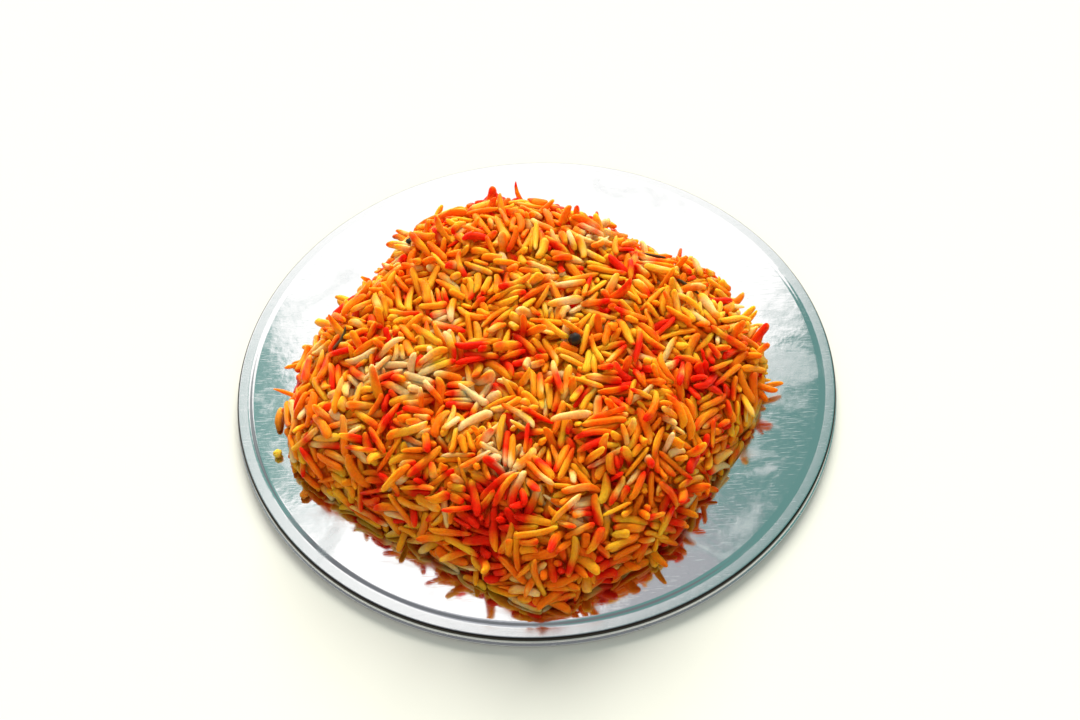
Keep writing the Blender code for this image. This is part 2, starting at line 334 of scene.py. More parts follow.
@dataclass
class SteelPlate:
    """The plate: a flat face, a low step down to a ledge, and an edge turned down to a rolled foot."""

    radius: float = 0.100
    face: float = 0.0046
    sheet: float = 0.0008
    step_curve: float = 0.0035
    step_slope: float = math.radians(20)
    ledge_width: float = 0.0026
    edge_curve: float = 0.0009
    bead_radius: float = 0.0006
    bead_worn: float = math.radians(30)
    step_steps: int = 12
    edge_steps: int = 14
    bead_steps: int = 14
    face_step: float = 3 * MM
    turns: int = 288
    weld: float = 0.001 * MM
    finish: PolishedSteel = field(default_factory=PolishedSteel)

    @property
    def step_run(self) -> float:
        """How wide the step is."""
        return 2 * self.step_curve * math.sin(self.step_slope)

    @property
    def ledge(self) -> float:
        """Height of the ledge."""
        return self.face - 2 * self.step_curve * (1 - math.cos(self.step_slope))

    @property
    def bead_middle(self) -> tuple[float, float]:
        """Radius and height of the rolled foot's middle."""
        return self.radius - self.bead_radius, self.bead_radius * math.cos(self.bead_worn)

    @property
    def face_radius(self) -> float:
        """Radius where the flat face ends."""
        return self.bead_middle[0] - self.edge_curve - self.ledge_width - self.step_run

    def top(self, radius: Array) -> Array:
        """Give the height of the upper face, out to the ledge.

        Args:
            radius: Distances from the plate's middle.

        Returns:
            Heights above the table.
        """
        reach = np.clip(radius - self.face_radius, 0.0, self.step_run)
        crest = self.face - self.step_curve + np.sqrt(np.maximum(self.step_curve**2 - reach**2, 0.0))
        back = self.step_run - reach
        hollow = self.ledge + self.step_curve - np.sqrt(np.maximum(self.step_curve**2 - back**2, 0.0))
        return np.where(reach < self.step_run / 2, crest, hollow)

    @staticmethod
    def arc(start: float, height: float, curve: float, turns: list[float]) -> list[tuple[float, float]]:
        """Trace an arc of the section that sets off level.

        Args:
            start: Radius on the plate where it sets off.
            height: Height where it sets off.
            curve: Its own radius, negative for one that sets off inwards and rises.
            turns: Angles along it.

        Returns:
            Points (radius, height).
        """
        return [(start + curve * math.sin(t), height - curve * (1 - math.cos(t))) for t in turns]

    def sheet_line(self, depth: float) -> list[tuple[float, float]]:
        """Trace the sheet from the end of the flat face, out and down the skirt.

        Args:
            depth: Distance below the upper face.

        Returns:
            Points (radius, height).
        """
        step_end = self.face_radius + self.step_run
        slopes = [self.step_slope * step / self.step_steps for step in range(self.step_steps + 1)]
        turns = [math.pi / 2 * step / self.edge_steps for step in range(self.edge_steps + 1)]
        over = self.arc(self.face_radius, self.face - depth, self.step_curve - depth, slopes)
        out = self.arc(step_end, self.ledge - depth, -self.step_curve - depth, slopes)
        down = self.arc(step_end + self.ledge_width, self.ledge - depth, self.edge_curve - depth, turns)
        return over + out[-2::-1] + down

    def bead_arc(self) -> list[tuple[float, float]]:
        """Trace the rolled foot from the skirt's outer face to both ends of its flat.

        Returns:
            Points (radius, height).
        """
        sweep = math.pi - self.bead_worn
        turns = [math.pi / 2 - sweep * step / self.bead_steps for step in range(self.bead_steps + 1)]
        turns.append(-math.pi / 2 - self.bead_worn)
        middle, rise = self.bead_middle
        bead = self.bead_radius
        return [(middle + bead * math.cos(t), rise + bead * math.sin(t)) for t in turns]

    def build(self) -> bpy.types.Object:
        """Turn the plate from its half section.

        Returns:
            The plate.
        """
        rings = int(self.face_radius / self.face_step)
        face = [(self.face_radius * ring / rings, self.face) for ring in range(rings)]
        under = [(radius, height - self.sheet) for radius, height in face]
        inner_foot = (self.bead_middle[0] - self.sheet, self.bead_radius)
        section = face + self.sheet_line(0.0) + self.bead_arc() + [inner_foot]
        section += self.sheet_line(self.sheet)[::-1] + under[::-1]
        built = bmesh.new()
        line = [built.verts.new((radius, 0.0, height)) for radius, height in section]
        edges = [built.edges.new(pair) for pair in zip(line, line[1:])]
        bmesh.ops.spin(
            built, geom=line + edges, cent=(0, 0, 0), axis=(0, 0, 1), angle=2 * math.pi, steps=self.turns,
            use_merge=True,
        )
        bmesh.ops.remove_doubles(built, verts=built.verts, dist=self.weld)
        mesh = mesh_of(built, "steel_plate")
        return place_piece("steel_plate", mesh, self.finish.material(), "plate", "plate")


# ---------------------------------------------------------------- form of the heap

@dataclass
class HeapForm:
    """The heap's outer form: a rounded square seen from above, with steep sides and a low crown."""

    plate: SteelPlate
    centre: tuple[float, float] = (-2.6 * MM, -8.8 * MM)
    half_width: float = 68 * MM
    half_length: float = 69 * MM
    turn: float = math.radians(54.5)
    squareness: float = 3.2
    height: float = 26.1 * MM
    crown_flatness: float = 4.5
    side_roundness: float = 2.2
    clearance: float = 0.3 * MM
    swell: float = 3.0 * MM
    swell_pitch: float = 30 * MM
    lump: float = 2.2 * MM
    lump_pitch: float = 6.5 * MM
    outline_changes: tuple[tuple[float, float, float], ...] = (  # azimuth, change in mm, spread in degrees
        (-91, 4.2, 8), (-158, 3.0, 9), (-72, -2.2, 8), (45, -3.4, 9), (16, -2.2, 9),
    )
    relief_step: float = 2.5 * MM
    relief_reach: float = 92 * MM
    probe: float = 0.05 * MM  # step for reading the surface's slope
    least_slope: float = 4.0
    relief: Array = field(init=False)

    def __post_init__(self) -> None:
        """Tabulate the surface's unevenness over the plate once, for quick reading."""
        cells = int(2 * self.relief_reach / self.relief_step) + 1
        self.relief = np.zeros((cells, cells))
        for i in range(cells):
            for j in range(cells):
                place = np.array([i, j]) * self.relief_step - self.relief_reach
                point = Vector((*place, float(self.even_height(place[None, :])[0])))
                swell = noise.noise(point / self.swell_pitch) * self.swell
                self.relief[i, j] = swell + noise.noise(point / self.lump_pitch) * self.lump

    @property
    def foot(self) -> float:
        """Height of the heap's foot above the table."""
        return self.plate.face + self.clearance

    def reach(self, azimuth: Array) -> Array:
        """Give the distance from the centre to the foot.

        Args:
            azimuth: Directions, in radians.

        Returns:
            Distances.
        """
        along = np.abs(np.cos(azimuth - self.turn) / self.half_width) ** self.squareness
        across = np.abs(np.sin(azimuth - self.turn) / self.half_length) ** self.squareness
        reach = (along + across) ** (-1 / self.squareness)
        for place, change, spread in self.outline_changes:
            off = azimuth - math.radians(place)
            off = np.arctan2(np.sin(off), np.cos(off)) / math.radians(spread)
            reach = reach + change * MM * np.exp(-off * off)
        return reach

    def polar(self, places: Array) -> tuple[Array, Array]:
        """Turn places into directions and distances from the heap's centre.

        Args:
            places: Points (x, y, ...), one a row.

        Returns:
            Azimuths in radians, and distances.
        """
        x = places[:, 0] - self.centre[0]
        y = places[:, 1] - self.centre[1]
        return np.arctan2(y, x), np.hypot(x, y)

    def even_height(self, places: Array) -> Array:
        """Give the height of the even surface.

        Args:
            places: Points (x, y, ...), one a row.

        Returns:
            Heights above the table.
        """
        azimuth, out = self.polar(places)
        share = np.clip(out / self.reach(azimuth), 0.0, 1.0)
        return self.foot + self.height * (1 - share**self.crown_flatness) ** (1 / self.side_roundness)

    def uneven(self, points: Array) -> Array:
        """Read how far the surface stands out of its even form, between the tabulated places.

        Args:
            points: Points (x, y, ...), one a row.

        Returns:
            Distances, upwards.
        """
        spot = np.clip((points[:, :2] + self.relief_reach) / self.relief_step, 0, len(self.relief) - 1.001)
        low = spot.astype(int)
        part = spot - low
        i, j = low[:, 0], low[:, 1]
        u, v = part[:, 0], part[:, 1]
        near = self.relief[i, j] * (1 - v) + self.relief[i, j + 1] * v
        far = self.relief[i + 1, j] * (1 - v) + self.relief[i + 1, j + 1] * v
        return near * (1 - u) + far * u

    def on_surface(self, x: float, y: float, lift: float = 0.0) -> tuple[Array, Array]:
        """Find a place on the surface.

        Args:
            x: Distance to the right of the plate's middle.
            y: Distance behind the plate's middle.
            lift: How far out of the surface.

        Returns:
            The place, and the unit vector outwards.
        """
        point = np.array([[x, y, 0.0]])
        point[:, 2] = self.even_height(point) + self.uneven(point)
        _, out = self.depth(point)
        return point[0] + out[0] * lift, out[0]

    def level(self, points: Array) -> Array:
        """Measure the heap's form function.

        Args:
            points: Places, one a row.

        Returns:
            Values that are 1 on the even surface and less inside.
        """
        azimuth, out = self.polar(points)
        up = np.maximum(points[:, 2] - self.foot, 0.0) / self.height
        return (out / self.reach(azimuth)) ** self.crown_flatness + up**self.side_roundness

    def depth(self, points: Array) -> tuple[Array, Array]:
        """Measure how far points stand outside the surface, and which way is out.

        Args:
            points: Places, one a row.

        Returns:
            Distances, negative inside, and unit vectors outwards.
        """
        here = self.level(points)
        rises = [self.level(points + self.probe * axis) - here for axis in np.eye(3)]
        slope = np.stack(rises, axis=1) / self.probe
        steep = np.maximum(np.linalg.norm(slope, axis=1), self.least_slope)
        out = slope / steep[:, None]
        return (here - 1) / steep - self.uneven(points) * np.clip(out[:, 2], 0.0, 1.0), out


# ---------------------------------------------------------------- laying the grains

@dataclass
class Rods:
    """Stiff rods with round ends, each from a tail to a tip."""

    tail: Array
    tip: Array
    radius: Array

    def join(self, other: "Rods") -> "Rods":
        """Put two sets of rods together.

        Args:
            other: The rods that follow these.

        Returns:
            All of them.
        """
        pairs = ((self.tail, other.tail), (self.tip, other.tip), (self.radius, other.radius))
        return Rods(*(np.concatenate(pair) for pair in pairs))

    @property
    def middle(self) -> Array:
        """Middle points."""
        return (self.tail + self.tip) / 2

    @property
    def length(self) -> Array:
        """Lengths between the end balls' centres."""
        return np.linalg.norm(self.tip - self.tail, axis=1)


@dataclass
class GrainBed:
    """Lays cooked grains in the heap's outer shell and settles them on each other.

    Grains lie level, as they fell, and partly follow the surface; some of the outer ones stand out of it.
    """

    form: HeapForm
    fixed: Rods
    count: int = 2650
    seed: int = 7
    shell: float = 6.0 * MM
    top: float = 1.2 * MM
    lengths: tuple[float, float] = (9.2 * MM, 13.8 * MM)
    radii: tuple[float, float] = (1.08 * MM, 1.38 * MM)
    broken_share: float = 0.28
    broken_length: tuple[float, float] = (0.36, 0.72)
    standing_share: float = 0.20
    standing: tuple[float, float] = (0.35, 1.5)
    slope: float = 0.24
    follow: tuple[float, float] = (0.62, 1.0)
    standing_depth: float = 3.6 * MM
    standing_proud: tuple[float, float] = (0.3, 0.75)
    lift: tuple[float, float] = (1.2 * MM, 3.4 * MM)  # how far the outer grains pass the mean surface
    lift_from: float = 7 * MM
    least_lift: float = 0.75
    least_half: float = 0.4 * MM
    field_half: tuple[float, float, float] = (84 * MM, 84 * MM, 16 * MM)
    tries: int = 8000
    foot_gap: float = 0.8 * MM
    plate_gap: float = 0.05 * MM
    rounds: int = 60
    regroup: int = 10
    slack: float = 0.8 * MM
    block: int = 500
    push: float = 0.32
    pull_back: float = 0.5
    rods: Rods = field(init=False)
    rest: Array = field(init=False)  # each grain's length
    proud: Array = field(init=False)  # how far each tip may pass the surface

    def start(self) -> None:
        """Scatter the grains evenly through the shell, every few of them on end."""
        draw = np.random.default_rng(self.seed)
        found = []
        lacking = self.count
        while lacking > 0:
            spread = draw.uniform(-1, 1, (self.tries, 3)) * np.array(self.field_half)
            points = spread + np.array([*self.form.centre, self.field_half[2]])
            out, _ = self.form.depth(points)
            inside = (out < self.top) & (out > -self.shell)
            inside &= points[:, 2] > self.form.foot + self.foot_gap
            found.append(points[inside][:lacking])
            lacking -= len(found[-1])
        middle = np.concatenate(found)
        out, normal = self.form.depth(middle)
        length = draw.uniform(*self.lengths, self.count)
        broken = draw.random(self.count) < self.broken_share
        length[broken] *= draw.uniform(*self.broken_length, broken.sum())
        radius = draw.uniform(*self.radii, self.count)
        heading = draw.uniform(0, 2 * math.pi, self.count)
        way = np.stack([np.cos(heading), np.sin(heading), draw.normal(0, self.slope, self.count)], axis=1)
        follow = draw.uniform(*self.follow, self.count)
        way -= normal * ((way * normal).sum(1) * follow)[:, None]
        way *= np.where((way * normal).sum(1) < 0, -1.0, 1.0)[:, None]
        stands = (draw.random(self.count) < self.standing_share) & (out > -self.standing_depth)
        way += normal * np.where(stands, draw.uniform(*self.standing, self.count), 0.0)[:, None]
        way /= np.linalg.norm(way, axis=1)[:, None]
        half = way * np.maximum(length / 2 - radius, self.least_half)[:, None]
        self.rest = np.linalg.norm(half, axis=1) * 2
        rise = (way * normal).sum(1)
        proud = draw.uniform(*self.standing_proud, self.count)
        self.proud = np.where(stands, self.rest * rise * proud, 0.0)
        up = np.clip((middle[:, 2] - self.form.foot) / self.lift_from, self.least_lift, 1)
        self.proud += draw.uniform(*self.lift, self.count) * up
        self.rods = Rods(middle - half, middle + half, radius)

    @staticmethod
    def nearest(first: tuple[Array, Array], second: tuple[Array, Array]) -> tuple[Array, Array]:
        """Find where pairs of segments come closest.

        The tiny terms keep points and parallel segments from dividing by nothing.

        Args:
            first: Starts and spans of the first segments.
            second: Starts and spans of the second segments.

        Returns:
            The shares along the first and along the second.
        """
        gap = first[0] - second[0]
        a = (first[1] ** 2).sum(1) + 1e-12
        e = (second[1] ** 2).sum(1) + 1e-12
        b = (first[1] * second[1]).sum(1)
        c = (first[1] * gap).sum(1)
        f = (second[1] * gap).sum(1)
        s = np.clip((b * f - c * e) / (a * e - b * b + 1e-14), 0, 1)
        t = np.clip((b * s + f) / e, 0, 1)
        return np.clip((b * t - c) / a, 0, 1), t

    def group(self, rods: Rods) -> tuple[Array, Array]:
        """List the pairs of rods near enough to touch, each pair once and no pair of fixed ones.

        Args:
            rods: The grains, and after them the fixed rods.

        Returns:
            Numbers of the first and of the second rod of each pair.
        """
        middle = rods.middle
        reach = rods.length / 2 + rods.radius + self.slack
        firsts, seconds = [], []
        for start in range(0, self.count, self.block):
            block = slice(start, min(start + self.block, self.count))
            apart = ((middle[block, None, :] - middle[None, :, :]) ** 2).sum(-1)
            close = apart < (reach[block, None] + reach[None, :]) ** 2
            i, j = np.nonzero(close)
            i = i + start
            keep = j > i
            firsts.append(i[keep])
            seconds.append(j[keep])
        return np.concatenate(firsts), np.concatenate(seconds)

    def push_apart(self, rods: Rods, pairs: tuple[Array, Array]) -> None:
        """Move overlapping grains away from each other.

        Args:
            rods: The grains, and after them the fixed rods.
            pairs: Numbers of the rods that may touch.
        """
        i, j = pairs
        span_i, span_j = rods.tip[i] - rods.tail[i], rods.tip[j] - rods.tail[j]
        s, t = self.nearest((rods.tail[i], span_i), (rods.tail[j], span_j))
        gap = rods.tail[i] + span_i * s[:, None] - rods.tail[j] - span_j * t[:, None]
        apart = np.linalg.norm(gap, axis=1) + 1e-9
        over = rods.radius[i] + rods.radius[j] - apart
        hit = over > 0
        i, j, s, t = i[hit], j[hit], s[hit], t[hit]
        move = gap[hit] / apart[hit, None] * (over[hit] * self.push)[:, None]
        for index, share, sign in ((i, s, 1.0), (j, t, -1.0)):
            spread = (1 - share) ** 2 + share**2
            for ends, weight in ((rods.tail, (1 - share) / spread), (rods.tip, share / spread)):
                for axis in range(3):
                    total = np.bincount(index, sign * weight * move[:, axis], minlength=len(ends))
                    ends[:self.count, axis] += total[:self.count]

    def hold(self, rods: Rods) -> None:
        """Keep the grains under the heap's surface, over its core and over the plate.

        Args:
            rods: The grains, and after them the fixed rods.
        """
        for ends, proud in ((rods.tail, np.minimum(self.proud, self.lift[1])), (rods.tip, self.proud)):
            mine = ends[:self.count]
            out, normal = self.form.depth(mine)
            radius = rods.radius[:self.count]
            over = np.maximum(out - (proud - radius), 0.0)
            under = np.maximum(-self.shell + radius - out, 0.0)
            mine += normal * (self.pull_back * (under - over))[:, None]
            plate = self.form.plate.top(np.hypot(mine[:, 0], mine[:, 1]) + radius)
            mine[:, 2] = np.maximum(mine[:, 2], plate + radius + self.plate_gap)

    def keep_length(self, rods: Rods) -> None:
        """Bring each grain back to its length.

        Args:
            rods: The grains, and after them the fixed rods.
        """
        tail, tip = rods.tail[:self.count], rods.tip[:self.count]
        span = tip - tail
        long = np.linalg.norm(span, axis=1) + 1e-9
        fix = span * ((1 - self.rest / long) / 2)[:, None]
        tail += fix
        tip -= fix

    def settle(self) -> Rods:
        """Relax the bed.

        Returns:
            The grains' rods.
        """
        self.start()
        rods = self.rods.join(self.fixed)
        for turn in range(self.rounds):
            if turn % self.regroup == 0:
                pairs = self.group(rods)
            self.push_apart(rods, pairs)
            self.hold(rods)
            self.keep_length(rods)
        self.hold(rods)
        self.keep_length(rods)
        return Rods(rods.tail[:self.count], rods.tip[:self.count], rods.radius[:self.count])


# ---------------------------------------------------------------- dyes

class Dye(Enum):
    """The colours that the rice was dyed with, as sRGB."""

    SAFFRON = "F49818"
    ORANGE = "F2700E"
    YELLOW = "EEAE26"
    RED = "E01E0A"
    CREAM = "E6C286"


@dataclass(frozen=True)
class Stain:
    """A place of the heap where one dye is strongest, in millimetres from the plate's middle."""

    x: float
    y: float
    spread: float
    strength: float = 1.0


RED_STAINS = tuple(Stain(*spot) for spot in (
    (-20, -65, 6, 1.6), (-16, -73, 6, 1.5), (-8, -71, 4), (2, -55, 3.5, 1.2), (17, -53, 4.5, 1.4),
    (25, -38, 6, 1.2), (9, -28, 5, 1.2), (29, -26, 5, 1.2), (33, -14, 4, 1.1), (41, -4, 3, 1.2),
    (28, 2, 3.5, 1.3), (54, -24, 6, 1.5), (45, -19, 4, 0.9), (33, 24, 4, 1.3), (10, 27, 5, 1.1),
    (-2, 9, 3, 1.2), (-5, -6, 3, 1.2), (-20, -13, 5, 1.4), (-26, -27, 4, 1.3), (-42, 17, 4, 1.2),
    (-49, -24, 3, 1.2), (-48, -38, 3, 1.3), (-53, -46, 4, 1.2), (-49, -56, 5, 1.2), (-57, -62, 4),
    (-73, -34, 4, 1.2), (-76, -6, 4, 1.5), (-64, -13, 4, 0.9), (-14, 66, 7, 1.4), (4, 68, 5, 1.5),
    (17, 60, 6, 1.3), (25, 54, 5, 1.2), (46, 38, 4, 1.3), (-51, 38, 4, 1.4), (39, -68, 4, 1.2),
    (17, -77, 4, 1.1), (6, -88, 4, 1.2), (-36, -56, 3, 1.2), (62, -8, 3), (56, -52, 4, 0.9),
    # the last three are broad, weak washes that make the whole far side of the heap redder and darker
    (31, -58, 4, 0.8), (-4, -46, 3, 0.9), (0, 72, 18, 0.45), (-42, 52, 13, 0.45), (44, 48, 13, 0.45),
))
CREAM_STAINS = tuple(Stain(*spot) for spot in (
    (-54, -17, 6), (-44, -18, 5), (-36, -24, 6, 1.4), (-17, -26, 6, 1.3), (-27, -2, 4),
    (-15, -49, 5, 1.4), (-13, -57, 5, 1.4), (-8, -62, 4), (-10, -38, 4), (22, 36, 6, 1.3), (13, 5, 4),
    (-16, 55, 4, 0.7), (-44, 33, 4), (38, 28, 3), (11, -71, 4, 1.5), (1, -67, 3.5), (0, -46, 4, 0.8),
))
YELLOW_STAINS = tuple(Stain(*spot) for spot in (
    (24, 20, 8), (56, 8, 9), (-62, 26, 7, 1.2), (-36, -11, 6, 1.2), (-12, -26, 6), (8, -6, 6),
    (30, 31, 6), (-62, -58, 6, 0.8), (-40, -76, 8, 0.7), (24, -75, 6, 0.8), (66, -30, 4),
))


@dataclass(frozen=True)
class Uptake:
    """How the rice took one dye: in its stains, in patches and flecks of its own, and everywhere."""

    stains: tuple[Stain, ...] = ()
    stained: float = 0.0
    mottle: float = 0.0
    fleck: float = 0.0
    tint: float = 0.0
    level: float = 0.0


@dataclass
class DyeBath:
    """How the dyes spread through the rice: stains with ragged edges, and grains that took more or less."""

    red: Uptake = Uptake(RED_STAINS, 1.1, mottle=0.20, fleck=0.34, level=-0.22)
    cream: Uptake = Uptake(CREAM_STAINS, 1.2, fleck=-0.10, tint=0.14, level=-0.40)
    yellow: Uptake = Uptake(YELLOW_STAINS, 0.8, mottle=-0.15, tint=0.34, level=-0.02)
    saffron: Uptake = Uptake(mottle=0.25, tint=0.35, level=0.6)
    saffron_lean: float = 0.5
    red_over_cream: float = 0.5
    yellow_under_cream: float = 2.0
    seed: int = 11
    wander_pitch: float = 9 * MM
    wander: float = 1.8 * MM
    mottle_pitch: float = 15 * MM
    fleck_pitch: float = 4.2 * MM
    tint_pitch: float = 7.14 * MM

    @staticmethod
    def stained(points: Array, stains: tuple[Stain, ...]) -> Array:
        """Add up how strong a dye's stains are.

        Args:
            points: Places, one a row.
            stains: The dye's stains.

        Returns:
            Strengths, which pass 1 where stains overlap.
        """
        total = np.zeros(len(points))
        for stain in stains:
            off = ((points[:, 0] / MM - stain.x) ** 2 + (points[:, 1] / MM - stain.y) ** 2) / stain.spread**2
            total += stain.strength * np.exp(-off)
        return total

    @staticmethod
    def waves(points: Array, pitch: float, draw: np.random.Generator, count: int = 14) -> Array:
        """Sum waves of many directions into a smooth random field.

        Args:
            points: Places, one a row.
            pitch: Size of the field's features.
            draw: Source of the directions.
            count: How many waves.

        Returns:
            Values with a spread of about 1.
        """
        turns_a_pitch = 2.2
        way = draw.normal(size=(count, 3)) / pitch * turns_a_pitch
        start = draw.uniform(0, 2 * math.pi, count)
        return np.sin(points @ way.T + start).sum(1) * math.sqrt(2 / count)

    def colours(self, points: Array, lean: Array) -> Array:
        """Work out the colour at points of the grains.

        Args:
            points: Places, one a row.
            lean: For each place, its grain's own leaning to red, yellow and cream, as three columns.

        Returns:
            Linear red, green, blue and alpha, one row a place.
        """
        draw = np.random.default_rng(self.seed)
        moved = points.copy()
        for axis in range(3):
            moved[:, axis] += self.waves(points, self.wander_pitch, draw) * self.wander
        pitches = (self.mottle_pitch, self.fleck_pitch, self.tint_pitch)
        mottle, fleck, tint = (self.waves(points, pitch, draw) for pitch in pitches)
        red, cream, yellow, saffron = (
            self.stained(moved, dye.stains) * dye.stained + dye.mottle * mottle + dye.fleck * fleck
            + dye.tint * tint + own + dye.level
            for dye, own in (
                (self.red, lean[:, 0]), (self.cream, lean[:, 2]), (self.yellow, lean[:, 1]),
                (self.saffron, self.saffron_lean * lean[:, 1]),
            )
        )
        cream = cream - self.red_over_cream * red
        yellow = np.maximum(yellow, cream * self.yellow_under_cream)
        parts = {dye: np.array(srgb(dye.value)) for dye in Dye}
        mix = self.blend(parts[Dye.ORANGE], parts[Dye.SAFFRON], saffron)
        mix = self.blend(mix, parts[Dye.YELLOW], yellow)
        mix = self.blend(mix, parts[Dye.CREAM], cream)
        mix = self.blend(mix, parts[Dye.RED], red)
        return np.concatenate([mix, np.ones((len(points), 1))], axis=1)

    @staticmethod
    def blend(base: Array, over: Array, amount: Array) -> Array:
        """Mix a colour over another.

        Args:
            base: Linear colour below, for all places or for each.
            over: Linear colour over it.
            amount: How much at each place, cut to between 0 and 1 with soft ends.

        Returns:
            A colour for each place.
        """
        share = np.clip(amount, 0.0, 1.0)
        share = (share * share * (3 - 2 * share))[:, None]
        return base * (1 - share) + over * share


@dataclass(frozen=True)
class CookedRice:
    """Cooked rice, dyed and steamed: waxy, so that light enters it, under a thin film of orange oil."""

    name: str
    roughness: float = 0.36
    gloss: float = 0.30
    oil: str = "FFC878"
    subsurface: float = 1.0
    scatter_depth: float = 2.6 * MM
    scatter_reach: tuple[float, float, float] = (1.0, 0.75, 0.5)  # red light goes deepest
    starch_width: float = 0.9 * MM
    starch_shade: tuple[float, float] = (0.86, 1.10)
    starch_relief: float = 0.12 * MM

    def material(self) -> bpy.types.Material:
        """Build the material, whose colour is the grain's own dye.

        Returns:
            The material.
        """
        material, tree, shader = new_material(self.name)
        place = add_node(tree, "ShaderNodeTexCoord").outputs["Object"]
        dye = add_node(tree, "ShaderNodeAttribute", attribute_name=DYE_ATTRIBUTE)
        starch = add_node(tree, "ShaderNodeTexNoise", {
            "Vector": place, "Scale": 1 / self.starch_width, "Detail": 3.0, "Roughness": 0.6,
        })
        shade = add_node(tree, "ShaderNodeMapRange", {
            "Value": starch.outputs["Fac"], "From Min": 0.3, "From Max": 0.7,
            "To Min": self.starch_shade[0], "To Max": self.starch_shade[1],
        })
        colour = add_node(tree, "ShaderNodeVectorMath", {
            0: dye.outputs["Color"], 1: shade.outputs["Result"],
        }, operation="MULTIPLY")
        bump = add_node(tree, "ShaderNodeBump", {
            "Height": starch.outputs["Fac"], "Strength": 0.35, "Distance": self.starch_relief,
        })
        tree.links.new(colour.outputs["Vector"], shader.inputs["Base Color"])
        tree.links.new(bump.outputs["Normal"], shader.inputs["Normal"])
        shader.inputs["Roughness"].default_value = self.roughness
        shader.inputs["Specular IOR Level"].default_value = self.gloss
        shader.inputs["Specular Tint"].default_value = (*srgb(self.oil), 1.0)
        shader.inputs["Subsurface Weight"].default_value = self.subsurface
        shader.inputs["Subsurface Radius"].default_value = self.scatter_reach
        shader.inputs["Subsurface Scale"].default_value = self.scatter_depth
        return material


# ---------------------------------------------------------------- drawing the grains

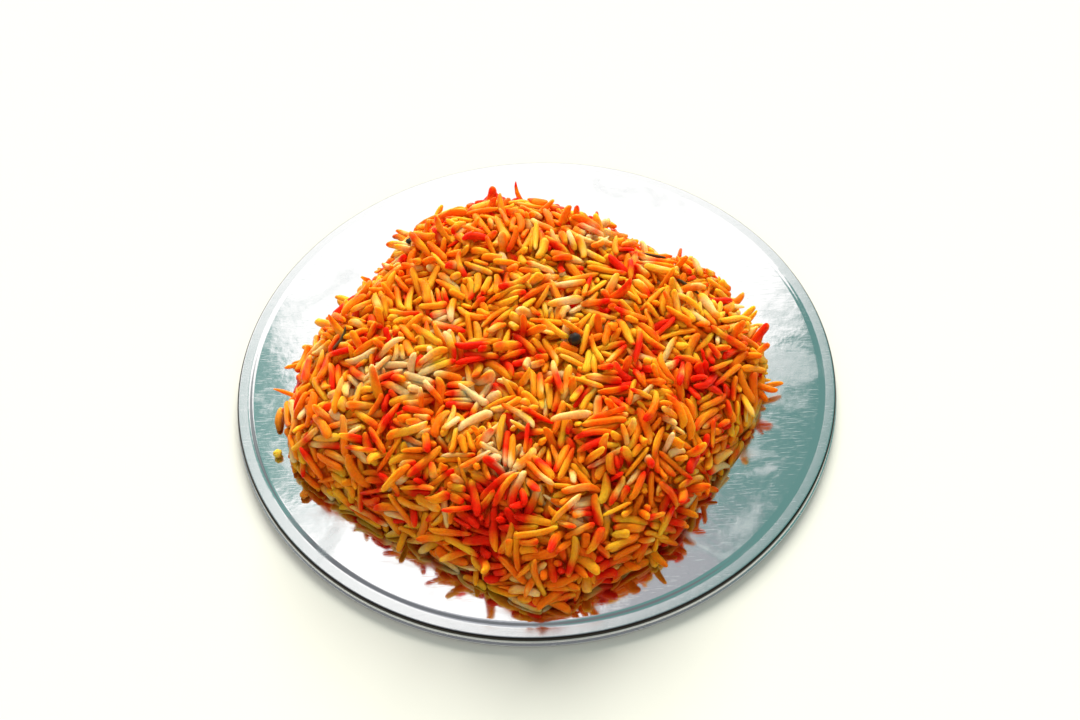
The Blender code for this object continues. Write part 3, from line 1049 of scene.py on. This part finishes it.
@dataclass
class GrainPattern:
    """The prototype of a cooked grain and how each real one differs from it."""

    sides: int = 8
    belts: int = 8
    end_pull: float = 0.72  # draws the belts towards the ends, where the form curves most
    bluntness: tuple[float, float] = (2.2, 7.5)
    flatness: tuple[float, float] = (0.62, 0.94)
    bend: tuple[float, float] = (0.02, 0.27)
    crook: float = 0.10
    taper: float = 0.24
    fullness: float = 0.47
    breadth: float = 1.05
    ridge: float = 0.15
    rough: float = 0.085
    map_share: float = 0.45  # of its cell of the flat map that a grain's turn and half length take
    ball: Array = field(init=False)
    faces: list[list[int]] = field(init=False)
    cells: Array = field(init=False)

    def __post_init__(self) -> None:
        """Make the prototype as a ball of unit size with few sides."""
        built = bmesh.new()
        bmesh.ops.create_uvsphere(built, u_segments=self.sides, v_segments=self.belts, radius=1.0)
        built.verts.ensure_lookup_table()
        self.ball = np.array([v.co for v in built.verts])
        self.faces = [[v.index for v in face.verts] for face in built.faces]
        built.free()
        self.cells = np.concatenate([self.unrolled(face) for face in self.faces])

    def unrolled(self, face: list[int]) -> Array:
        """Lay a face of the prototype out flat, in a unit cell.

        Args:
            face: Its vertices.

        Returns:
            A row (u, v) for each of its corners.
        """
        corners = self.ball[face]
        turn = np.arctan2(corners[:, 1], corners[:, 0]) / (2 * math.pi) % 1.0
        pole = np.hypot(corners[:, 0], corners[:, 1]) < 1e-5
        sound = turn[~pole]
        if np.ptp(sound) > 0.5:
            sound = np.where(sound < 0.5, sound + 1, sound)
        turn[~pole] = sound
        turn[pole] = sound.mean()
        return np.stack([turn * self.map_share + 0.02, corners[:, 2] * self.map_share + 0.5], axis=1)

    def draw(self, rods: Rods, draw: np.random.Generator) -> tuple[Array, Array]:
        """Shape all the grains.

        Args:
            rods: Where the grains lie.
            draw: Source of their differences.

        Returns:
            Vertices, as grain by prototype vertex by axis, and each one's place along its grain from -1 to 1.
        """
        count = len(rods.radius)
        way = rods.tip - rods.tail
        half = np.linalg.norm(way, axis=1) / 2
        way /= (2 * half)[:, None]
        half += rods.radius
        side = np.cross(way, draw.normal(size=(count, 3)))
        side /= np.linalg.norm(side, axis=1)[:, None]
        up = np.cross(way, side)
        along = self.ball[:, 2]
        turn = np.arctan2(self.ball[:, 1], self.ball[:, 0])
        along = np.sign(along) * np.abs(along) ** self.end_pull
        lean = draw.uniform(-self.taper, self.taper, (count, 1))
        blunt = draw.uniform(*self.bluntness, (count, 2))
        power = np.where(along[None, :] > 0, blunt[:, :1], blunt[:, 1:])
        slim = (1 - np.abs(along)[None, :] ** power) ** self.fullness * (1 + lean * along[None, :])
        ripple = 1 + self.ridge * np.cos(2 * turn[None, :] + draw.uniform(0, 6.3, (count, 1)))
        ripple = ripple + draw.normal(0, self.rough, (count, len(along)))
        girth = rods.radius[:, None] * slim * ripple
        thick = draw.uniform(*self.flatness, (count, 1))
        bend = draw.uniform(*self.bend, (count, 1)) * half[:, None] * draw.choice([-1, 1], (count, 1))
        crook = draw.normal(0, self.crook, (count, 1)) * half[:, None]
        arch = bend * (0.5 - along[None, :] ** 2) + crook * along[None, :] ** 3
        across = girth * np.cos(turn) * self.breadth + arch
        rise = girth * np.sin(turn) * thick
        points = rods.middle[:, None, :] + way[:, None, :] * (along[None, :] * half[:, None])[:, :, None]
        points = points + side[:, None, :] * across[:, :, None] + up[:, None, :] * rise[:, :, None]
        return points, np.broadcast_to(along, (count, len(along)))

    def mesh(self, name: str, points: Array, colours: Array) -> bpy.types.Mesh:
        """Join drawn grains into one mesh with their colours and a flat map.

        Args:
            name: Name of the mesh.
            points: Vertices, as grain by prototype vertex by axis.
            colours: A colour for each vertex.

        Returns:
            The mesh.
        """
        count, size = points.shape[:2]
        corners = np.concatenate([np.array(face) for face in self.faces])
        starts = np.cumsum([0] + [len(face) for face in self.faces])
        loops = (corners[None, :] + (np.arange(count) * size)[:, None]).ravel()
        begins = (starts[None, :-1] + (np.arange(count) * len(corners))[:, None]).ravel()
        mesh = bpy.data.meshes.new(name)
        mesh.vertices.add(count * size)
        mesh.vertices.foreach_set("co", points.ravel().astype(np.float32))
        mesh.loops.add(len(loops))
        mesh.loops.foreach_set("vertex_index", loops.astype(np.int32))
        mesh.polygons.add(len(begins))
        mesh.polygons.foreach_set("loop_start", begins.astype(np.int32))
        mesh.update(calc_edges=True)
        mesh.shade_smooth()
        paint(mesh, colours)
        rows = math.ceil(math.sqrt(count))
        cell = np.stack([np.arange(count) % rows, np.arange(count) // rows], axis=1)
        flat = (self.cells[None, :, :] + cell[:, None, :]) / rows
        mesh.uv_layers.new(name=BAKE_MAP).data.foreach_set("uv", flat.reshape(-1).astype(np.float32))
        mesh.validate()
        return mesh


# ---------------------------------------------------------------- heap

@dataclass
class RiceHeap:
    """The heap: a rough core, and over it the real grains, in one piece for each dye."""

    form: HeapForm
    fixed: Rods
    pattern: GrainPattern = field(default_factory=GrainPattern)
    bath: DyeBath = field(default_factory=DyeBath)
    seed: int = 23
    core_depth: float = 2.9 * MM
    core_sectors: int = 128
    core_rings: int = 96
    core_bump: float = 0.7 * MM
    core_bump_pitch: float = 2.3 * MM
    # partly painted shade: the core leans to red and away from yellow and cream, so the gaps between grains
    # show a deep orange-red; the rest is the dye of the rice below
    core_dye_and_shade_lean: tuple[float, float, float] = (0.15, -0.4, -0.9)
    plate_gap: float = 0.03 * MM
    # how far single grains lean to red, yellow and cream: by chance, the few that are strongly dyed,
    # from end to end, and at both tips
    lean_spread: tuple[float, float, float] = (0.16, 0.24, 0.15)
    strong_share: tuple[float, float, float] = (0.09, 0.16, 0.08)
    strong_lean: tuple[float, float, float] = (0.8, 0.6, 0.75)
    fade_spread: tuple[float, float, float] = (0.28, 0.28, 0.18)
    tip_lean: tuple[float, float, float] = (0.14, 0.0, -0.12)
    # shares of red light that tell the kinds apart
    cream_blue: float = 0.09
    red_green: float = 0.16
    golden_green: float = 0.36

    def kinds(self, colours: Array) -> dict[str, Array]:
        """Sort the grains by the dye that shows most.

        Args:
            colours: Colour of each grain's vertices.

        Returns:
            Name of each kind to whether a grain is of it.
        """
        mean = colours[:, :, :3].mean(1)
        green, blue = mean[:, 1] / mean[:, 0], mean[:, 2] / mean[:, 0]
        cream = blue > self.cream_blue
        red = ~cream & (green < self.red_green)
        golden = ~cream & (green > self.golden_green)
        return {"red": red, "cream": cream, "golden": golden, "orange": ~(red | cream | golden)}

    def build_core(self) -> bpy.types.Object:
        """Build the body under the grains, which shows only as the dark between them.

        Returns:
            The core.
        """
        built = bmesh.new()
        bmesh.ops.create_uvsphere(built, u_segments=self.core_sectors, v_segments=self.core_rings, radius=1.0)
        below = [v for v in built.verts if v.co.z < -1e-4]
        bmesh.ops.delete(built, geom=below, context="VERTS")
        bmesh.ops.holes_fill(built, edges=[e for e in built.edges if e.is_boundary])
        ball = np.array([v.co for v in built.verts])
        azimuth = np.arctan2(ball[:, 1], ball[:, 0])
        fall = math.pi / 2 * (np.arccos(np.clip(ball[:, 2], 0, 1)) / (math.pi / 2)) ** 2
        form = self.form
        out = np.sin(fall) ** (2 / form.crown_flatness) * (form.reach(azimuth) - self.core_depth)
        up = np.maximum(np.cos(fall), 0.0) ** (2 / form.side_roundness)
        x = form.centre[0] + out * np.cos(azimuth)
        y = form.centre[1] + out * np.sin(azimuth)
        points = np.stack([x, y, up * form.height], axis=1)
        bumps = [self.core_bump * noise.noise(Vector(point) / self.core_bump_pitch) for point in points]
        rise = form.height - self.core_depth + form.uneven(points) + np.array(bumps)
        points[:, 2] = form.foot + up * rise
        for vertex, point in zip(built.verts, points):
            vertex.co = point
        mesh = mesh_of(built, "rice_core")
        lean = np.tile(self.core_dye_and_shade_lean, (len(mesh.vertices), 1))
        paint(mesh, self.bath.colours(np.array([v.co for v in mesh.vertices]), lean))
        return place_piece("rice_core", mesh, CookedRice("packed_rice").material(), "rice", "rice_heap")

    def leans(self, along: Array, draw: np.random.Generator) -> Array:
        """Draw how each grain took the dyes.

        Args:
            along: Place of each vertex along its grain, from -1 to 1, one row a grain.
            draw: Source of the differences.

        Returns:
            Leanings to red, yellow and cream, as grain by vertex by dye.
        """
        size = (len(along), 3)
        lean = draw.normal(0, 1, size) * np.array(self.lean_spread)
        lean += np.where(draw.random(size) < np.array(self.strong_share), np.array(self.strong_lean), 0.0)
        fade = draw.normal(0, 1, size) * np.array(self.fade_spread)
        tips = np.abs(along)[:, :, None] ** 3 * np.array(self.tip_lean)
        return lean[:, None, :] + fade[:, None, :] * along[:, :, None] + tips

    def build(self) -> list[bpy.types.Object]:
        """Lay, draw and dye the grains.

        Returns:
            The core and the pieces of grains.
        """
        rods = GrainBed(self.form, self.fixed).settle()
        draw = np.random.default_rng(self.seed)
        points, along = self.pattern.draw(rods, draw)
        floor = self.form.plate.top(np.hypot(points[:, :, 0], points[:, :, 1]))
        points[:, :, 2] = np.maximum(points[:, :, 2], floor + self.plate_gap)
        leans = self.leans(along, draw)
        colours = self.bath.colours(points.reshape(-1, 3), leans.reshape(-1, 3)).reshape(*along.shape, 4)
        made = [self.build_core()]
        for kind, mine in self.kinds(colours).items():
            name = f"rice_{kind}"
            mesh = self.pattern.mesh(name, points[mine], colours[mine])
            finish = CookedRice(f"steamed_{kind}_rice").material()
            made.append(place_piece(name, mesh, finish, "rice", "rice_heap"))
            LOG.info("%s: %d grains", name, int(mine.sum()))
        return made


# ---------------------------------------------------------------- spices and loose bits

@dataclass(frozen=True)
class DriedSpice:
    """Dried whole spice that was cooked in the rice: dark and wrinkled, with a little gloss from the oil."""

    name: str
    colour: str
    light: str
    roughness: float = 0.42
    wrinkle: float = 0.7 * MM
    wrinkle_depth: float = 0.15 * MM

    def material(self) -> bpy.types.Material:
        """Build the material.

        Returns:
            The material.
        """
        material, tree, shader = new_material(self.name)
        place = add_node(tree, "ShaderNodeTexCoord").outputs["Object"]
        wrinkles = add_node(tree, "ShaderNodeTexNoise", {
            "Vector": place, "Scale": 1 / self.wrinkle, "Detail": 4.0, "Roughness": 0.6,
        })
        mixed = add_node(tree, "ShaderNodeMix", {"Factor": wrinkles.outputs["Fac"]}, data_type="RGBA")
        # a colour mix has number sockets of the same names first, so its own are found by place
        mixed.inputs[6].default_value = (*srgb(self.colour), 1.0)
        mixed.inputs[7].default_value = (*srgb(self.light), 1.0)
        bump = add_node(tree, "ShaderNodeBump", {
            "Height": wrinkles.outputs["Fac"], "Strength": 0.8, "Distance": self.wrinkle_depth,
        })
        tree.links.new(mixed.outputs[2], shader.inputs["Base Color"])
        tree.links.new(bump.outputs["Normal"], shader.inputs["Normal"])
        shader.inputs["Roughness"].default_value = self.roughness
        return material


@dataclass
class Trimmings:
    """A peppercorn, slivers and a flake of spice on the heap, and the bits of rice that dropped beside it."""

    form: HeapForm
    pattern: GrainPattern
    peppercorn_at: tuple[float, float] = (13.1 * MM, -10.2 * MM)
    peppercorn_radius: float = 2.1 * MM
    peppercorn_lift: float = 1.82 * MM
    peppercorn_finish: DriedSpice = DriedSpice("dried_peppercorn", "120D0A", "2C2018")
    slivers: tuple[tuple[float, float, float], ...] = (  # x and y in mm, heading in degrees
        (51.3, 13.2, -40), (40.9, 29.7, 20), (-61.6, -0.9, 62),
    )
    sliver_length: float = 9.5 * MM
    sliver_radius: float = 0.55 * MM
    sliver_ends: tuple[str, str] = ("3A3418", "54401E")
    sliver_finish: DriedSpice = DriedSpice("dried_cumin", "2E2812", "5A4A22")
    flake_at: tuple[float, float] = (-39.9 * MM, 42.6 * MM)
    flake_radius: float = 1.3 * MM
    lift: float = 1.3 * MM
    clearing: float = 2.2 * MM
    clearing_width: float = 1.25
    loose_at: tuple[float, float] = (-84.2 * MM, -15.5 * MM)
    loose_heading: float = math.radians(88)
    loose_length: float = 9.2 * MM
    loose_radius: float = 1.2 * MM
    loose_ends: tuple[str, str] = ("C87820", "F49E2C")
    crumb_radius: float = 1.4 * MM
    crumb_squash: float = 0.85
    lump_swells: float = 2.1  # swellings of a lump in a radius
    crumbs: tuple[tuple[str, float, float, str], ...] = (
        ("crumb_left", -83.8, -29.4, "E8C446"), ("crumb_front", -74.4, -45.5, "E08A2C"),
    )

    def sliver_rods(self) -> Rods:
        """Lay the slivers on the heap's surface.

        Returns:
            A rod for each.
        """
        tails, tips = [], []
        for x, y, heading in self.slivers:
            place, out = self.form.on_surface(x * MM, y * MM, self.lift)
            way = np.array([math.cos(math.radians(heading)), math.sin(math.radians(heading)), 0.0])
            way -= out * (way @ out)
            half = way / np.linalg.norm(way) * (self.sliver_length / 2 - self.sliver_radius)
            tails.append(place - half)
            tips.append(place + half)
        return Rods(np.array(tails), np.array(tips), np.full(len(tails), self.sliver_radius))

    def balls(self) -> Rods:
        """Lay the peppercorn and the flake on the heap.

        Returns:
            Two rods without length.
        """
        ends = np.array([
            self.form.on_surface(*self.peppercorn_at, self.peppercorn_lift)[0],
            self.form.on_surface(*self.flake_at, self.lift)[0],
        ])
        return Rods(ends, ends.copy(), np.array([self.peppercorn_radius, self.flake_radius]))

    def obstacles(self) -> Rods:
        """List what the grains keep clear of: the spices, and the air over them, so that none is buried.

        Returns:
            A rod for each.
        """
        spices = self.balls().join(self.sliver_rods())
        _, out = self.form.depth(spices.middle)
        rise = out * self.clearing
        return spices.join(Rods(spices.tail + rise, spices.tip + rise, spices.radius * self.clearing_width))

    def lump(self, name: str, place: Array, radius: float, squash: float, rough: float) -> bpy.types.Mesh:
        """Make a small uneven lump.

        Args:
            name: Name of the mesh.
            place: Its middle.
            radius: Its radius.
            squash: Its height, as a share of its width.
            rough: How far it is from round, as a share of the radius.

        Returns:
            The mesh.
        """
        built = bmesh.new()
        bmesh.ops.create_icosphere(built, subdivisions=4, radius=1.0)
        for vertex in built.verts:
            swell = 1 + rough * noise.noise(vertex.co * self.lump_swells + Vector(place) / MM) * 2
            point = vertex.co * (radius * swell)
            vertex.co = Vector((point.x, point.y, point.z * squash)) + Vector(place)
        return mesh_of(built, name)

    def grain(self, name: str, rods: Rods, colours: tuple[str, str], seed: int) -> bpy.types.Mesh:
        """Draw one or more grains or slivers, shaded from end to end between two colours.

        Args:
            name: Name of the mesh.
            rods: Where they lie.
            colours: Colours of the tail and of the tip.
            seed: Seed of their differences.

        Returns:
            The mesh.
        """
        points, along = self.pattern.draw(rods, np.random.default_rng(seed))
        share = (along[:, :, None] + 1) / 2
        ends = [np.array((*srgb(code), 1.0)) for code in colours]
        return self.pattern.mesh(name, points, ends[0] * (1 - share) + ends[1] * share)

    def build_bits(self) -> list[bpy.types.Object]:
        """Put down the loose grain and the crumbs, on the plate's face.

        Returns:
            The pieces.
        """
        half = np.array([math.cos(self.loose_heading), math.sin(self.loose_heading), 0.0])
        half *= self.loose_length / 2 - self.loose_radius
        middle = np.array([[*self.loose_at, self.form.foot + self.loose_radius]])
        rod = Rods(middle - half, middle + half, np.array([self.loose_radius]))
        finish = CookedRice("dropped_rice")
        mesh = self.grain("loose_rice", rod, self.loose_ends, seed=5)
        made = [place_piece("loose_rice", mesh, finish.material(), "rice", "loose_grain")]
        for name, x, y, code in self.crumbs:
            place = np.array([x * MM, y * MM, self.form.foot + self.crumb_radius * self.crumb_squash])
            mesh = self.lump(f"{name}_rice", place, self.crumb_radius, self.crumb_squash, rough=0.16)
            paint(mesh, np.tile((*srgb(code), 1.0), (len(mesh.vertices), 1)))
            made.append(place_piece(f"{name}_rice", mesh, finish.material(), "rice", name))
        return made

    def build(self) -> list[bpy.types.Object]:
        """Make all the trimmings.

        Returns:
            The pieces.
        """
        pepper, flake = self.balls().middle
        dark, brown = self.peppercorn_finish, self.sliver_finish
        spices = (
            (self.lump("peppercorn", pepper, self.peppercorn_radius, squash=0.96, rough=0.05), dark),
            (self.lump("spice_flake", flake, self.flake_radius, squash=0.6, rough=0.3), dark),
            (self.grain("spice_slivers", self.sliver_rods(), self.sliver_ends, seed=3), brown),
        )
        made = [
            place_piece(mesh.name, mesh, finish.material(), "rice", "rice_heap") for mesh, finish in spices
        ]
        return made + self.build_bits()


# ---------------------------------------------------------------- studio

@dataclass(frozen=True)
class RoomPatch:
    """A patch of the room, in degrees as seen from the plate; azimuth runs from the back to the right."""

    colour: str
    strength: float
    azimuth: tuple[float, float]
    elevation: tuple[float, float]
    soft: float = 1.0
    lean: float = 0.0  # how far a level edge falls to the right, in degrees a degree
    torn: float = 0.0  # how far its edges are ragged, in degrees


ROOM = (
    # the ceiling, the walls at the sides and the window wall
    RoomPatch("DFE1E6", 0.85, (-60, 60), (66, 91), soft=2.0),
    RoomPatch("D3D8D8", 0.62, (-100, 100), (12, 42), soft=3.0),
    RoomPatch("FFFDFA", 1.5, (-42, 42), (2, 70), soft=2.0),
    # something greenish up to the right, something grey before it, and more of the greenish to the left
    RoomPatch("90CAC2", 0.64, (5, 110), (69.0, 175), soft=0.6, lean=1.25, torn=2.6),
    RoomPatch("C6C6CA", 0.95, (3, 15), (57.5, 80), soft=1.2, torn=4.0),
    RoomPatch("9AD0C8", 0.78, (-70, -15.4), (47.5, 55.5), soft=0.5, torn=3.5),
)


@dataclass(frozen=True)
class SoftLamp:
    """A far lamp, whose place and spread are in degrees as seen from the plate."""

    name: str
    azimuth: float
    elevation: float
    spread: float
    power: float


@dataclass
class Studio:
    """Camera, floor and plain soft light."""

    camera_place: tuple[float, float, float] = (0.0018, -0.3074, 0.3997)
    camera_tilt: float = math.radians(38.27)
    camera_roll: float = math.radians(-3.03)
    lens: float = 50.0
    sensor: float = 36.0
    near_clip: float = 0.01
    floor_colour: str = "DAD9CF"
    floor_roughness: float = 0.7
    floor_size: float = 3.0
    lamps: tuple[SoftLamp, ...] = (
        SoftLamp("window", azimuth=4, elevation=33, spread=36, power=5.5),
        SoftLamp("fill", azimuth=172, elevation=42, spread=110, power=1.15),
    )
    lamp_colour: str = "FFFCF6"
    shade: str = "85878A"
    torn_scale: float = 16.0

    def place_camera(self) -> None:
        """Set up the camera."""
        lens = bpy.data.cameras.new("camera")
        lens.lens = self.lens
        lens.sensor_width = self.sensor
        lens.clip_start = self.near_clip
        camera = bpy.data.objects.new("camera", lens)
        bpy.context.scene.collection.objects.link(camera)
        turn = Matrix.Rotation(self.camera_tilt, 4, "X") @ Matrix.Rotation(self.camera_roll, 4, "Z")
        camera.matrix_world = Matrix.Translation(self.camera_place) @ turn
        bpy.context.scene.camera = camera

    def lay_floor(self) -> None:
        """Lay the pale table top, painted and matt, so that it takes only a soft shadow."""
        built = bmesh.new()
        bmesh.ops.create_grid(built, x_segments=1, y_segments=1, size=self.floor_size)
        mesh = bpy.data.meshes.new("table_top")
        built.to_mesh(mesh)
        built.free()
        floor = bpy.data.objects.new("table_top", mesh)
        bpy.context.scene.collection.objects.link(floor)
        material, _, shader = new_material("painted_table_top")
        shader.inputs["Base Color"].default_value = (*srgb(self.floor_colour), 1.0)
        shader.inputs["Roughness"].default_value = self.floor_roughness
        mesh.materials.append(material)

    def hang_lamps(self) -> None:
        """Hang the lamps, which the steel doesn't mirror because the room has its own window."""
        for soft in self.lamps:
            lamp = bpy.data.lights.new(soft.name, "SUN")
            lamp.angle = math.radians(soft.spread)
            lamp.energy = soft.power
            lamp.color = srgb(self.lamp_colour)
            light = bpy.data.objects.new(soft.name, lamp)
            azimuth, elevation = math.radians(soft.azimuth), math.radians(soft.elevation)
            level = math.cos(elevation)
            way = Vector((math.sin(azimuth) * level, math.cos(azimuth) * level, math.sin(elevation)))
            light.matrix_world = way.to_track_quat("Z", "Y").to_matrix().to_4x4()
            light.visible_glossy = False
            bpy.context.scene.collection.objects.link(light)

    @staticmethod
    def mask(
        tree: bpy.types.NodeTree, patch: RoomPatch, torn: bpy.types.NodeSocket,
        azimuth: bpy.types.NodeSocket, elevation: bpy.types.NodeSocket,
    ) -> bpy.types.NodeSocket:
        """Cut out a patch of the room.

        Args:
            tree: The world's node tree.
            patch: The patch.
            torn: Noise that tears its edges.
            azimuth: The direction's azimuth in radians.
            elevation: The direction's elevation in radians.

        Returns:
            A value that is 1 inside the patch.
        """
        leaned = add_node(tree, "ShaderNodeMath", {
            0: azimuth, 1: patch.lean, 2: elevation,
        }, operation="MULTIPLY_ADD").outputs["Value"]
        tear = math.radians(patch.torn)
        inside = 1.0
        for value, (low, high) in ((azimuth, patch.azimuth), (leaned, patch.elevation)):
            for edge, inward in ((low, 1), (high, -1)):
                limit = math.radians(edge) + tear / 2
                soft = math.radians(patch.soft) * inward
                rough = add_node(tree, "ShaderNodeMath", {
                    0: torn, 1: tear, 2: value,
                }, operation="MULTIPLY_ADD")
                step = add_node(tree, "ShaderNodeMapRange", {
                    "Value": rough.outputs["Value"], "From Min": limit - soft, "From Max": limit + soft,
                }, interpolation_type="SMOOTHSTEP")
                inside = add_node(tree, "ShaderNodeMath", {
                    0: inside, 1: step.outputs["Result"],
                }, operation="MULTIPLY").outputs["Value"]
        return inside

    def paint_room(self) -> None:
        """Paint the room round the table by direction, one patch over another."""
        world = bpy.data.worlds.new("room")
        bpy.context.scene.world = world
        world.use_nodes = True
        tree = world.node_tree
        way = add_node(tree, "ShaderNodeTexCoord").outputs["Generated"]
        torn = add_node(tree, "ShaderNodeTexNoise", {
            "Vector": way, "Scale": self.torn_scale, "Detail": 5.0, "Roughness": 0.65,
        }).outputs["Fac"]
        part = add_node(tree, "ShaderNodeSeparateXYZ", {"Vector": way}).outputs
        elevation = add_node(tree, "ShaderNodeMath", {0: part["Z"]}, operation="ARCSINE").outputs["Value"]
        azimuth = add_node(tree, "ShaderNodeMath", {
            0: part["X"], 1: part["Y"],
        }, operation="ARCTAN2").outputs["Value"]
        colour = add_node(tree, "ShaderNodeRGB").outputs["Color"]
        colour.default_value = (*srgb(self.shade), 1.0)
        for patch in ROOM:
            mask = self.mask(tree, patch, torn, azimuth, elevation)
            mixed = add_node(tree, "ShaderNodeMix", {"Factor": mask}, data_type="RGBA")
            # a colour mix has number sockets of the same names first, so its own are found by place
            tree.links.new(colour, mixed.inputs[6])
            mixed.inputs[7].default_value = (*[c * patch.strength for c in srgb(patch.colour)], 1.0)
            colour = mixed.outputs[2]
        tree.links.new(colour, tree.nodes["Background"].inputs["Color"])

    def build(self) -> None:
        """Set up the whole studio."""
        self.place_camera()
        self.lay_floor()
        self.hang_lamps()
        self.paint_room()
        bpy.context.scene.view_settings.view_transform = "Standard"


def main() -> None:
    """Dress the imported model."""
    logging.basicConfig(level=logging.INFO, format="%(name)s: %(message)s")
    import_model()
    Studio().build()
    plate = SteelPlate()
    form = HeapForm(plate)
    trimmings = Trimmings(form, GrainPattern())
    pieces = [plate.build(), *RiceHeap(form, trimmings.obstacles()).build(), *trimmings.build()]
    for piece in pieces:
        LOG.info("%s: %d faces", piece.name, len(piece.data.polygons))


if __name__ == "__main__":
    main()
